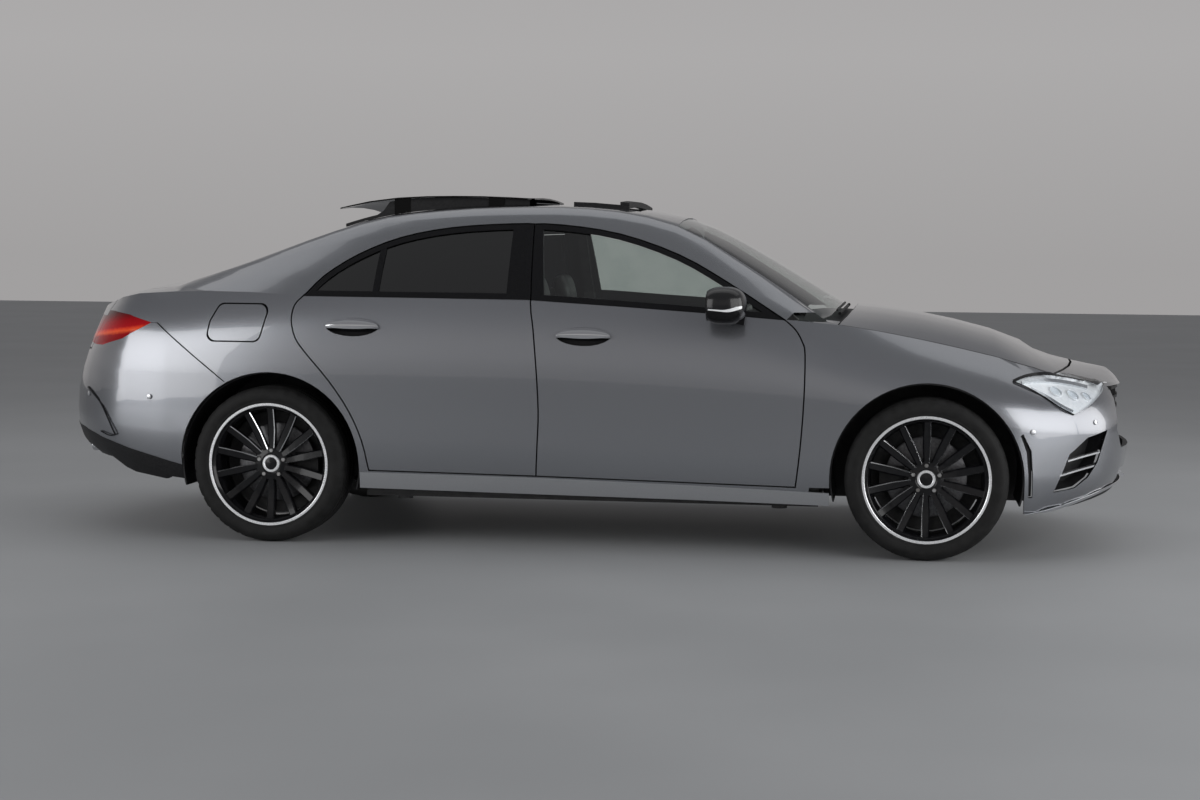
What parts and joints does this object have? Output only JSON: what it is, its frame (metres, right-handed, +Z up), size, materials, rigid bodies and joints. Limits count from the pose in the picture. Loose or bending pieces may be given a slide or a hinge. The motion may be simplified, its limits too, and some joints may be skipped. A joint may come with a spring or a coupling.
{
  "type": "four-door coupe",
  "caption": "Low four-door coupe with arched roof, hung doors, bonnet and boot lid, steered front wheels and an open sunroof.",
  "frame": {"origin": "on the road, under the middle of the car's length and width", "axes": "+X forward, +Y to the car's left, +Z up"},
  "size_m": [4.6841, 2.1878, 1.4808],
  "materials": {
    "paint": "clear-coated metallic grey",
    "underbody": "matt",
    "black_trim": "satin black",
    "satin_trim": "satin",
    "screen_glass": "clear green tint",
    "dark_glass": "dark tint",
    "clear_lens": "clear",
    "red_lens": "glossy red",
    "running_gear": "rough",
    "engine": "rough",
    "pipe": "dull",
    "cabin_plastic": "soft grain",
    "upholstery": "fine grain",
    "bright": "polished",
    "alloy": "gloss black with machined edges",
    "tyre": "matt"
  },
  "bodies": {
    "body": {"floor_pan": "underbody", "boot_floor": "underbody", "front_rails": "underbody", "body_side_right": "paint", "body_side_left": "paint", "roof_panel": "paint", "front_fenders": "paint", "front_bumper": "paint", "splitter": "black_trim", "grille": "black_trim", "rear_bumper": "paint", "rear_diffuser": "black_trim", "side_skirts": "satin_trim", "windscreen": "screen_glass", "rear_window": "screen_glass", "sunroof_glass": "dark_glass", "wind_deflector": "black_trim", "headlamps": "clear_lens", "tail_lamps": "red_lens", "wheel_liners": "black_trim", "front_subframe": "running_gear", "rear_axle": "running_gear", "engine_block": "engine", "exhaust": "pipe", "dashboard": "cabin_plastic", "front_seats": "upholstery", "rear_bench": "upholstery"},
    "hood": {"hood": "paint"},
    "trunk_lid": {"trunk_lid": "paint", "lid_lamps": "red_lens"},
    "fuel_flap": {"fuel_flap": "paint"},
    "steering_wheel": {"steering_wheel": "cabin_plastic"},
    "front_door_right": {"front_door_right": "paint", "front_glass_right": "screen_glass", "mirror_right": "paint", "front_handle_right": "bright"},
    "rear_door_right": {"rear_door_right": "paint", "rear_glass_right": "dark_glass", "rear_handle_right": "bright"},
    "knuckle_right": {"knuckle_right": "running_gear"},
    "wheel_front_right": {"wheel_front_right": "alloy", "tyre_front_right": "tyre"},
    "wheel_rear_right": {"wheel_rear_right": "alloy", "tyre_rear_right": "tyre"},
    "front_door_left": {"front_door_left": "paint", "front_glass_left": "screen_glass", "mirror_left": "paint", "front_handle_left": "bright"},
    "rear_door_left": {"rear_door_left": "paint", "rear_glass_left": "dark_glass", "rear_handle_left": "bright"},
    "knuckle_left": {"knuckle_left": "running_gear"},
    "wheel_front_left": {"wheel_front_left": "alloy", "tyre_front_left": "tyre"},
    "wheel_rear_left": {"wheel_rear_left": "alloy", "tyre_rear_left": "tyre"}
  },
  "joints": [
    {"name": "front_door_right_hinge", "type": "hinge", "parent": "body", "child": "front_door_right", "pos_m": [0.94, -0.893, 0.55], "axis": [0, 0, 1], "range_deg": [0, 65]},
    {"name": "rear_door_right_hinge", "type": "hinge", "parent": "body", "child": "rear_door_right", "pos_m": [-0.16, -0.893, 0.55], "axis": [0, 0, 1], "range_deg": [0, 65]},
    {"name": "front_door_left_hinge", "type": "hinge", "parent": "body", "child": "front_door_left", "pos_m": [0.94, 0.893, 0.55], "axis": [0, 0, -1], "range_deg": [0, 65]},
    {"name": "rear_door_left_hinge", "type": "hinge", "parent": "body", "child": "rear_door_left", "pos_m": [-0.16, 0.893, 0.55], "axis": [0, 0, -1], "range_deg": [0, 65]},
    {"name": "hood_hinge", "type": "hinge", "parent": "body", "child": "hood", "pos_m": [1.1, 0, 0.965], "axis": [0, -1, 0], "range_deg": [0, 50]},
    {"name": "trunk_hinge", "type": "hinge", "parent": "body", "child": "trunk_lid", "pos_m": [-1.763, 0, 1.104], "axis": [0, 1, 0], "range_deg": [0, 75]},
    {"name": "fuel_flap_hinge", "type": "hinge", "parent": "body", "child": "fuel_flap", "pos_m": [-1.284, -0.902, 0.92], "axis": [0, 0, 1], "range_deg": [0, 100]},
    {"name": "steer_left", "type": "hinge", "parent": "body", "child": "knuckle_left", "pos_m": [1.474, 0.718, 0.328], "axis": [0, 0, 1], "range_deg": [-35, 35]},
    {"name": "steer_right", "type": "hinge", "parent": "body", "child": "knuckle_right", "pos_m": [1.474, -0.718, 0.328], "axis": [0, 0, 1], "range_deg": [-35, 35]},
    {"name": "steering_wheel_turn", "type": "hinge", "parent": "body", "child": "steering_wheel", "pos_m": [0.56, -0.37, 0.85], "axis": [-0.9272, 0, 0.3746], "range_deg": [-420, 420]},
    {"name": "wheel_front_right_spin", "type": "hinge", "parent": "knuckle_right", "child": "wheel_front_right", "pos_m": [1.474, -0.806, 0.328], "axis": [0, 1, 0], "continuous": true},
    {"name": "wheel_rear_right_spin", "type": "hinge", "parent": "body", "child": "wheel_rear_right", "pos_m": [-1.255, -0.806, 0.328], "axis": [0, 1, 0], "continuous": true},
    {"name": "wheel_front_left_spin", "type": "hinge", "parent": "knuckle_left", "child": "wheel_front_left", "pos_m": [1.474, 0.806, 0.328], "axis": [0, 1, 0], "continuous": true},
    {"name": "wheel_rear_left_spin", "type": "hinge", "parent": "body", "child": "wheel_rear_left", "pos_m": [-1.255, 0.806, 0.328], "axis": [0, 1, 0], "continuous": true}
  ],
  "couplings": [
    {"joint": "steer_right", "follows": "steer_left", "ratio": 1},
    {"joint": "steering_wheel_turn", "follows": "steer_left", "ratio": 12}
  ]
}
